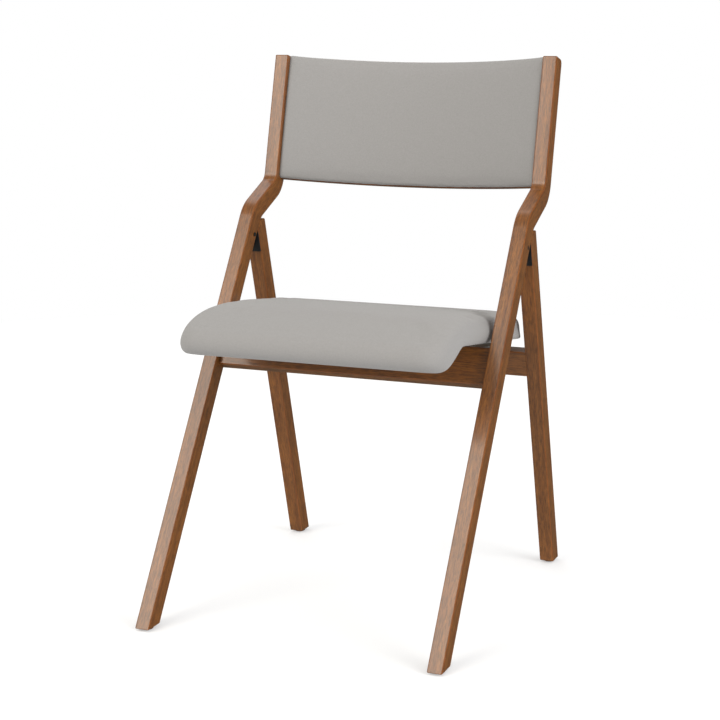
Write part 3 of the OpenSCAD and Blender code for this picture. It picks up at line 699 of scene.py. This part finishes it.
class CHAIR_OT_rails(Operator):
    """Plane the two cross rails and round their long edges"""

    bl_idname = "chair.rails"
    bl_label = "Cross rails"

    def execute(self, context):
        size = context.scene.chair_sizes
        front, rear = leaning(LegPath(size).foot, size.front_lean), rear_leg_place(size, "left")
        # The front rail is flush with the backs of its legs, and the rear rail with the fronts of its own
        rails = (
            ("front_cross_rail", "front_rail", "front_frame", front, FRONT_RAIL, size.leg_depth - FRONT_RAIL[0]),
            ("rear_cross_rail", "rear_rail", "rear_frame", rear, REAR_RAIL, 0.0),
        )
        for name, node, body, place, (thick, tall, height), depth in rails:
            low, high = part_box(node)
            rail = block(
                name, (high.x - low.x + 2 * RAIL_INTO_LEG, thick, tall),
                place @ Matrix.Translation((0, depth, height)),
            )
            only(rail)
            bpy.ops.object.mode_set(mode="EDIT")
            bpy.ops.mesh.select_mode(type="EDGE")
            select_in_edit(rail, "edges", lambda at, way: abs(way.x) > 0.9 * way.length)
            bpy.ops.mesh.bevel(offset=size.edge_round, segments=EDGE_SEGMENTS, affect="EDGES")
            bpy.ops.object.mode_set(mode="OBJECT")
            outwards(rail)
            smooth(rail)
            turned = place @ Matrix.Rotation(math.pi / 2, 4, "Y")
            grain_in(rail, turned, (RAIL_GRAIN[0], height, RAIL_GRAIN[1]))
            finish_wood(rail, body, node)
        return {"FINISHED"}


class BackCurve:
    """The back's curve: circles about one axis, parallel to the stiles, in the stiles' own frame."""

    def __init__(self, size):
        low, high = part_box("back_pad")
        self.half = high.x
        self.face_r = (self.half**2 + size.back_bow**2) / (2 * size.back_bow)
        self.setback = 4 * MM
        self.pad = 13 * MM
        self.panel = 9 * MM
        self.axis_depth = self.setback + size.back_bow - self.face_r
        path = LegPath(size)
        self.place = leaning(path.stile_foot, path.stile)
        inverse = self.place.inverted()
        corners = [inverse @ v.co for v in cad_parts["back_pad"].data.vertices]
        self.low = min(c.z for c in corners)
        self.high = max(c.z for c in corners)


class CHAIR_OT_back_panel(Operator):
    """Press the curved back panel behind the pad"""

    bl_idname = "chair.back_panel"
    bl_label = "Back panel"

    def execute(self, context):
        size = context.scene.chair_sizes
        back = BackCurve(size)
        inner = back.face_r + back.pad
        inverse = back.place.inverted()
        low = min((inverse @ v.co).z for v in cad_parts["back_panel"].data.vertices)
        reach = math.asin((back.half + PANEL_INTO_STILE) / inner)
        bpy.ops.object.select_all(action="DESELECT")
        bpy.ops.mesh.primitive_plane_add(
            size=1, location=(0, inner + back.panel / 2, (low + back.high) / 2), rotation=(0, math.pi / 2, 0)
        )
        panel = bpy.context.active_object
        panel.scale = (back.high - low, back.panel, 1)
        panel = started("curved_back_panel")
        bpy.ops.object.mode_set(mode="EDIT")
        bpy.ops.mesh.select_mode(type="FACE")
        bpy.ops.mesh.select_all(action="SELECT")
        bpy.ops.transform.rotate(
            value=reach, orient_axis="Z", orient_type="GLOBAL", center_override=(0, 0, 0)
        )
        middle = sum((v.co.x for v in bmesh.from_edit_mesh(panel.data).verts)) / 4
        turn = -2 * reach if middle > 0 else 2 * reach
        bpy.ops.mesh.spin(steps=PANEL_STEPS, angle=turn, center=(0, 0, 0), axis=(0, 0, 1))
        bpy.ops.mesh.select_all(action="SELECT")
        bpy.ops.transform.translate(value=(0, back.axis_depth, 0))
        bpy.ops.object.mode_set(mode="OBJECT")
        outwards(panel)
        round_edges(panel, PANEL_ROUND, BENT_EDGES)
        co = points_of(panel)
        sweep = np.arctan2(co[:, 0], co[:, 1] - back.axis_depth) * inner
        depth = np.hypot(co[:, 0], co[:, 1] - back.axis_depth) - inner
        paint(panel, "grain", np.column_stack([co[:, 2], depth + PANEL_GRAIN, sweep]))
        put(panel, back.place)
        smooth(panel)
        finish_wood(panel, "front_frame", "back_panel")
        return {"FINISHED"}


# ---- Upholstery ----

EASING_ROUNDS = 2
PRESSURE, CLOTH_FRAMES = 4.0, 20
STRETCH_STIFFNESS, BENDING_STIFFNESS = 25, 2
NO_MOVE = 1e-9
SMOOTHING = 0.5


def solid_from_rings(name, rings):
    """A closed mesh from rings of equally many points, each ring joined to the next and the ends closed."""
    count = len(rings[0])
    vertices = [p for ring in rings for p in ring]
    faces = [
        (r * count + i, r * count + (i + 1) % count, (r + 1) * count + (i + 1) % count, (r + 1) * count + i)
        for r in range(len(rings) - 1)
        for i in range(count)
    ]
    faces.append(tuple(reversed(range(count))))
    faces.append(tuple((len(rings) - 1) * count + i for i in range(count)))
    mesh = bpy.data.meshes.new(name)
    mesh.from_pydata([tuple(v) for v in vertices], [], faces)
    obj = bpy.data.objects.new(name, mesh)
    bpy.context.scene.collection.objects.link(obj)
    outwards(obj)
    return obj


def tangents(outline):
    """The direction of a closed line at each of its points."""
    ahead = np.roll(outline, -1, 0) - np.roll(outline, 1, 0)
    return ahead / np.linalg.norm(ahead, axis=1)[:, None]


def quarter_round(over, radius):
    """How far a rounded edge has come in at a distance into its radius."""
    over = max(0.0, over)
    return radius - math.sqrt(max(0.0, radius**2 - over**2))


def even(points, count):
    """The same closed line with evenly spaced points."""
    points = np.asarray(points, float)
    points = np.vstack([points, points[:1]])
    steps = np.linalg.norm(np.diff(points, axis=0), axis=1)
    run = np.concatenate([[0], np.cumsum(steps)])
    wanted = np.linspace(0, run[-1], count, endpoint=False)
    return np.column_stack([np.interp(wanted, run, points[:, i]) for i in range(points.shape[1])])


def eased(points):
    """Rounds a closed line's corners by cutting each a quarter in from both ends, again and again."""
    for _ in range(EASING_ROUNDS):
        ahead = np.roll(points, -1, 0)
        cuts = [0.75 * points + 0.25 * ahead, 0.25 * points + 0.75 * ahead]
        points = np.stack(cuts, 1).reshape(-1, points.shape[1])
    return points


def inflate(pad, cap, held):
    """Blows the cover up as cloth over its filling, moves no point further than cap, and leaves held points alone."""
    before = points_of(pad)
    only(pad)
    group = pad.vertex_groups.new(name="held")
    for i in np.nonzero(held)[0]:
        group.add([int(i)], 1.0, "REPLACE")
    modifier = pad.modifiers.new("cloth", "CLOTH")
    modifier.settings.use_pressure = True
    modifier.settings.uniform_pressure_force = PRESSURE
    modifier.settings.effector_weights.gravity = 0
    modifier.settings.vertex_group_mass = "held"
    modifier.settings.tension_stiffness = modifier.settings.compression_stiffness = STRETCH_STIFFNESS
    modifier.settings.bending_stiffness = BENDING_STIFFNESS
    modifier.point_cache.frame_start = 1
    modifier.point_cache.frame_end = CLOTH_FRAMES
    for number in range(1, CLOTH_FRAMES + 1):
        bpy.context.scene.frame_set(number)
    bpy.ops.object.modifier_apply(modifier=modifier.name)
    bpy.context.scene.frame_set(1)
    after = points_of(pad)
    moved = after - before
    far = np.maximum(np.linalg.norm(moved, axis=1), NO_MOVE)
    moved *= (cap * np.tanh(far / cap) / far)[:, None]
    pad.data.vertices.foreach_set("co", (before + moved).astype(np.float32).ravel())
    pad.data.update()
    pad.vertex_groups.clear()


# The seat's outline in its own frame, u along the seat to the rear and v square to it, in millimetres
SEAT_OUTLINE = (
    (190, 5), (192, 11), (191, 23), (187, 32), (177, 38.8), (162, 42.3), (120, 44.2), (60, 44), (0, 43.5), (-50, 41),
    (-90, 36.6), (-125, 29.6), (-155, 19.4), (-176, 7), (-187, -6), (-189, -14), (-187.5, -21), (-183, -26.5),
    (-177, -30), (-169.5, -31.3), (-161, -30.3), (-149.5, -26), (-137, -19), (-124, -10.5), (-112, -3.5),
    (-101, 1.4), (-88, 3.2), (-60, 3.2), (60, 3.2), (160, 3.2), (186, 3.2),
)
SEAT_SIDE_ROUND = 15 * MM  # over the sides' upper edges
SEAT_LOW_ROUND = 2.5 * MM  # under the sides' lower edges, where the cover is pulled round the board
LIP_ROUNDED_TO, LIP_CRISP_FROM = -160 * MM, -115 * MM  # along the seat
SEAT_CORNER = {"front": 34 * MM, "rear": 26 * MM}  # seen from above
SEAT_CORNER_FROM = {"front": -60 * MM, "rear": 100 * MM}  # along the seat
SEAT_CORNER_EASE = 1.5
UNDERSIDE_FROM, UNDERSIDE_OVER = 0.3, 0.5  # of the rearward part of the outline's direction
SEAT_POINTS, SEAT_STATIONS, SEAT_ROUND_STATIONS = 220, 60, 9
SEAT_VOXEL = 4.2 * MM
SEAT_SWELL = 3 * MM  # the most that the cover may move
SEAT_HELD_BELOW = 8 * MM  # where the cover is stapled to the board
ROWS_AT_ONCE = 4000


class CHAIR_OT_seat(Operator):
    """Upholster the seat: foam over a bent board, with a rolled front"""

    bl_idname = "chair.seat"
    bl_label = "Padded seat"

    def execute(self, context):
        size = context.scene.chair_sizes
        half = size.seat_width / 2
        low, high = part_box("left_seat_hinge_pin")
        hinge = ((low.y + high.y) / 2, (low.z + high.z) / 2)
        place = leaning(hinge, 0) @ Matrix.Rotation(-size.seat_slope, 4, "X")
        outline = even(eased(np.array(SEAT_OUTLINE) * MM), SEAT_POINTS)
        if np.sum(outline[:, 0] * np.roll(outline[:, 1], -1) - np.roll(outline[:, 0], -1) * outline[:, 1]) < 0:
            outline = outline[::-1]
        tips = {"front": outline[:, 0].min(), "rear": outline[:, 0].max()}
        tangent = tangents(outline)
        inwards = np.column_stack([-tangent[:, 1], tangent[:, 0]])
        underside = np.clip((tangent[:, 0] - UNDERSIDE_FROM) / UNDERSIDE_OVER, 0, 1)
        underside *= np.clip((outline[:, 0] - LIP_ROUNDED_TO) / (LIP_CRISP_FROM - LIP_ROUNDED_TO), 0, 1)
        share = {
            end: np.clip((outline[:, 0] - start) / (tips[end] - start), 0, 1) ** SEAT_CORNER_EASE
            for end, start in SEAT_CORNER_FROM.items()
        }
        rings = []
        rounded = SEAT_SIDE_ROUND * (1 - np.cos(np.linspace(0, math.pi / 2, SEAT_ROUND_STATIONS)))
        stations = np.concatenate([
            -half + rounded,
            np.linspace(-half + SEAT_SIDE_ROUND, half - SEAT_SIDE_ROUND, SEAT_STATIONS)[1:-1],
            half - rounded[::-1],
        ])
        for x in stations:
            upper = quarter_round(abs(x) - half + SEAT_SIDE_ROUND, SEAT_SIDE_ROUND)
            lower = quarter_round(abs(x) - half + SEAT_LOW_ROUND, SEAT_LOW_ROUND)
            ring = outline + (upper + underside * (lower - upper))[:, None] * inwards
            back_off = {
                end: max(0.0, quarter_round(abs(x) - half + radius, radius) - upper)
                for end, radius in SEAT_CORNER.items()
            }
            u = ring[:, 0] + back_off["front"] * share["front"] - back_off["rear"] * share["rear"]
            rings.append(np.column_stack([np.full(len(u), x), u, ring[:, 1]]))
        seat = solid_from_rings("upholstered_seat", rings)
        modify(seat, "REMESH", mode="VOXEL", voxel_size=SEAT_VOXEL)
        modify(seat, "SMOOTH", factor=SMOOTHING, iterations=4)
        inflate(seat, SEAT_SWELL, points_of(seat)[:, 2] < SEAT_HELD_BELOW)
        modify(seat, "SMOOTH", factor=SMOOTHING, iterations=3)
        modify(seat, "SUBSURF", levels=1, render_levels=1)
        co = points_of(seat)
        run = np.concatenate([[0], np.cumsum(np.linalg.norm(np.diff(outline, axis=0), axis=1))])
        nearest = np.zeros(len(co), int)
        for start in range(0, len(co), ROWS_AT_ONCE):
            part = co[start : start + ROWS_AT_ONCE]
            nearest[start : start + ROWS_AT_ONCE] = np.argmin(
                (part[:, 1, None] - outline[None, :, 0]) ** 2 + (part[:, 2, None] - outline[None, :, 1]) ** 2, axis=1
            )
        inward = np.hypot(co[:, 1] - outline[nearest, 0], co[:, 2] - outline[nearest, 1])
        paint(seat, "weave", np.column_stack([co[:, 0] + np.sign(co[:, 0]) * inward, run[nearest], co[:, 2]]))
        put(seat, place)
        bpy.ops.object.shade_smooth()
        finish_piece(seat, bpy.data.materials["plain_weave_upholstery"], "seat", "upholstery", "seat_cushion")
        return {"FINISHED"}


BACK_ROUND = 3 * MM
BACK_CROWN = 2.5 * MM  # that the pad thins towards its upper and lower edges
BACK_SHRINK = 1 * MM  # left for the cover to swell into
BACK_SWELL = 1.5 * MM  # the most that the cover may move
BACK_SIDE_GAP = 0.2 * MM
BACK_HELD = 3 * MM  # in front of the panel, where the cover is fixed
BACK_VOXEL = 3 * MM
BACK_POINTS, BACK_STATIONS = 120, 70
ROUND_POINTS, CROWN_POINTS, END_STATIONS = 6, 25, 5


class CHAIR_OT_back_pad(Operator):
    """Upholster the curved back pad"""

    bl_idname = "chair.back_pad"
    bl_label = "Padded back"

    def execute(self, context):
        size = context.scene.chair_sizes
        back = BackCurve(size)
        reach = math.asin((back.half - BACK_SIDE_GAP) / back.face_r)
        r = BACK_ROUND
        low, high = back.low, back.high
        face, rear = back.face_r + BACK_SHRINK, back.face_r + back.pad

        def section(inset):
            """The pad's cut: radius and height, rounded at the front and square against the panel."""
            near, bottom, top = face + inset, low + inset, high - inset
            edge = near + BACK_CROWN
            turn = np.linspace(0, math.pi / 2, ROUND_POINTS)
            lower = [(edge + r * (1 - math.sin(t)), bottom + r * (1 - math.cos(t))) for t in turn]
            upper = [(edge + r * (1 - math.cos(t)), top - r * (1 - math.sin(t))) for t in turn]
            middle = [
                (near + BACK_CROWN * t**4, (bottom + top) / 2 + t * ((top - bottom) / 2 - r))
                for t in np.linspace(-1, 1, CROWN_POINTS)[1:-1]
            ]
            return [(rear, bottom + MM), *lower, *middle, *upper, (rear, top - MM)]

        # Where the sections stand along the curve, and how much smaller each is: the ends are rounded
        ends = [
            (reach * back.face_r - r * (1 - math.cos(t)), r * (1 - math.sin(t)))
            for t in np.linspace(0, math.pi / 2, END_STATIONS)
        ]
        last = ends[-1][0]
        stations = [
            *((-sweep, inset) for sweep, inset in ends),
            *((sweep, 0) for sweep in np.linspace(-last, last, BACK_STATIONS)[1:-1]),
            *reversed(ends),
        ]
        rings = []
        for sweep, inset in stations:
            a = sweep / back.face_r
            rings.append([
                (math.sin(a) * radius, back.axis_depth + math.cos(a) * radius, height)
                for radius, height in even(section(inset), BACK_POINTS)
            ])
        pad = solid_from_rings("upholstered_back", rings)
        modify(pad, "REMESH", mode="VOXEL", voxel_size=BACK_VOXEL)
        modify(pad, "SMOOTH", factor=SMOOTHING, iterations=2)
        co = points_of(pad)
        radius = np.hypot(co[:, 0], co[:, 1] - back.axis_depth)
        inflate(pad, BACK_SWELL, radius > rear - BACK_HELD)
        modify(pad, "SMOOTH", factor=SMOOTHING, iterations=2)
        modify(pad, "SUBSURF", levels=1, render_levels=1)
        co = points_of(pad)
        sweep = np.arctan2(co[:, 0], co[:, 1] - back.axis_depth) * back.face_r
        paint(pad, "weave", np.column_stack([sweep, co[:, 2], co[:, 1]]))
        put(pad, back.place)
        bpy.ops.object.shade_smooth()
        finish_piece(pad, bpy.data.materials["plain_weave_upholstery"], "front_frame", "upholstery", "back_pad")
        return {"FINISHED"}


# ---- Stage ----

SKY_BELOW, SKY_ABOVE = 1.35, 1.0  # brightness to matt surfaces
SKY_GLOSS, SKY_GLOSS_BEHIND = 0.3, 0.1  # brightness in the lacquer's reflections
SKY_GLOSS_TINT = (1, 0.92, 0.74, 1)
FLOOR_GLOW = 0.36
FLOOR_RADIUS = 2.7
FLOOR_SIDES = 96
# Each soft box's place, width and height in metres, its power in watts, and whether the lacquer reflects it
SOFT_BOXES = {
    "key_soft_box": ((-2.24, -4.04, 3.45), 3.0, 3.4, 172, True),
    "fill_soft_box": ((3.95, -0.9, 1.9), 2.6, 2.6, 130, False),
    "back_soft_box": ((-1.1, 1.4, 2.85), 1.6, 1.6, 11, True),
}
SOFT_BOX_AIM = Vector((0, 0, 0.45))
KEY_COLOUR = (1, 0.955, 0.86)
CAMERA_PLACE = (0.945, -2.287, 0.841)
CAMERA_TURN = (math.radians(90 - 10.903), 0, math.radians(22.456))
CAMERA_LENS, CAMERA_SENSOR = 84.03, 36


class CHAIR_OT_stage(Operator):
    """Lay the floor, hang the soft boxes and set the camera"""

    bl_idname = "chair.stage"
    bl_label = "Studio"

    def execute(self, context):
        scene = context.scene
        bpy.ops.object.select_all(action="DESELECT")
        bpy.ops.mesh.primitive_circle_add(
            vertices=FLOOR_SIDES, radius=FLOOR_RADIUS, fill_type="NGON", location=(0, 0, 0)
        )
        floor = started("studio_floor")
        floor.data.materials.append(
            small_part(
                "painted_floor", scene.chair_colours.floor, 0.9, scale=3, depth=0.0, spread=0.01,
                **{"Emission Color": (1, 1, 1, 1), "Emission Strength": FLOOR_GLOW, "Specular IOR Level": 0.0},
            )
        )
        floor.visible_glossy = floor.visible_diffuse = False
        scene.world = self.surroundings()
        for name, (place, width, tall, power, glossy) in SOFT_BOXES.items():
            light = bpy.data.lights.new(name, "AREA")
            light.shape = "RECTANGLE"
            light.size, light.size_y, light.energy = width, tall, power
            lamp = bpy.data.objects.new(name, light)
            scene.collection.objects.link(lamp)
            lamp.location = place
            lamp.rotation_euler = (SOFT_BOX_AIM - Vector(place)).to_track_quat("-Z", "Y").to_euler()
            lamp.visible_glossy = glossy
        bpy.data.lights["key_soft_box"].color = KEY_COLOUR
        camera = bpy.data.objects.new("camera", bpy.data.cameras.new("camera"))
        scene.collection.objects.link(camera)
        camera.location = CAMERA_PLACE
        camera.rotation_euler = CAMERA_TURN
        camera.data.lens, camera.data.sensor_width = CAMERA_LENS, CAMERA_SENSOR
        scene.camera = camera
        scene.view_settings.view_transform = "Standard"
        return {"FINISHED"}

    def surroundings(self):
        """White surroundings, a little brighter below than above, and dimmer in the lacquer, most of all behind."""
        world = bpy.data.worlds.new("studio")
        world.use_nodes = True
        nodes, links = world.node_tree.nodes, world.node_tree.links
        ray, at, split = (nodes.new(f"ShaderNode{kind}") for kind in ("LightPath", "TexCoord", "SeparateXYZ"))
        links.new(at.outputs["Generated"], split.inputs[0])
        height, depth, matt, all_rays = (nodes.new("ShaderNodeMapRange") for _ in range(4))
        for choice, value, low, high in (
            (height, split.outputs[2], SKY_BELOW, SKY_ABOVE),
            (depth, split.outputs[1], SKY_GLOSS, SKY_GLOSS_BEHIND),
            (matt, ray.outputs["Is Glossy Ray"], height.outputs[0], depth.outputs[0]),
            (all_rays, ray.outputs["Is Camera Ray"], matt.outputs[0], 1.0),
        ):
            links.new(value, choice.inputs["Value"])
            for socket, end in (("To Min", low), ("To Max", high)):
                if isinstance(end, bpy.types.NodeSocket):
                    links.new(end, choice.inputs[socket])
                else:
                    choice.inputs[socket].default_value = end
        height.inputs["From Min"].default_value = depth.inputs["From Min"].default_value = -1
        background = nodes["Background"]
        tint = nodes.new("ShaderNodeMix")
        tint.data_type = "RGBA"
        links.new(ray.outputs["Is Glossy Ray"], tint.inputs[0])
        tint.inputs[6].default_value, tint.inputs[7].default_value = (1, 1, 1, 1), SKY_GLOSS_TINT
        links.new(tint.outputs[2], background.inputs["Color"])
        links.new(all_rays.outputs[0], background.inputs["Strength"])
        return world


class CHAIR_PT_build(Panel):
    """Lists the build steps"""

    bl_idname = "CHAIR_PT_build"
    bl_label = "Folding side chair"
    bl_space_type = "VIEW_3D"
    bl_region_type = "UI"
    bl_category = "Chair"

    def draw(self, context):
        for step in STEPS:
            self.layout.operator(step.bl_idname)


STEPS = (
    CHAIR_OT_finishes,
    CHAIR_OT_front_legs,
    CHAIR_OT_rear_legs,
    CHAIR_OT_rails,
    CHAIR_OT_back_panel,
    CHAIR_OT_back_pad,
    CHAIR_OT_seat,
    CHAIR_OT_stage,
)
CLASSES = (ChairSizes, ChairColours, *STEPS, CHAIR_PT_build)


def register():
    for cls in CLASSES:
        bpy.utils.register_class(cls)
    bpy.types.Scene.chair_sizes = PointerProperty(type=ChairSizes)
    bpy.types.Scene.chair_colours = PointerProperty(type=ChairColours)


def unregister():
    del bpy.types.Scene.chair_sizes, bpy.types.Scene.chair_colours
    for cls in reversed(CLASSES):
        bpy.utils.unregister_class(cls)


def main():
    register()
    for step in STEPS:
        getattr(bpy.ops.chair, step.bl_idname.split(".")[1])()


if __name__ == "__main__":
    main()
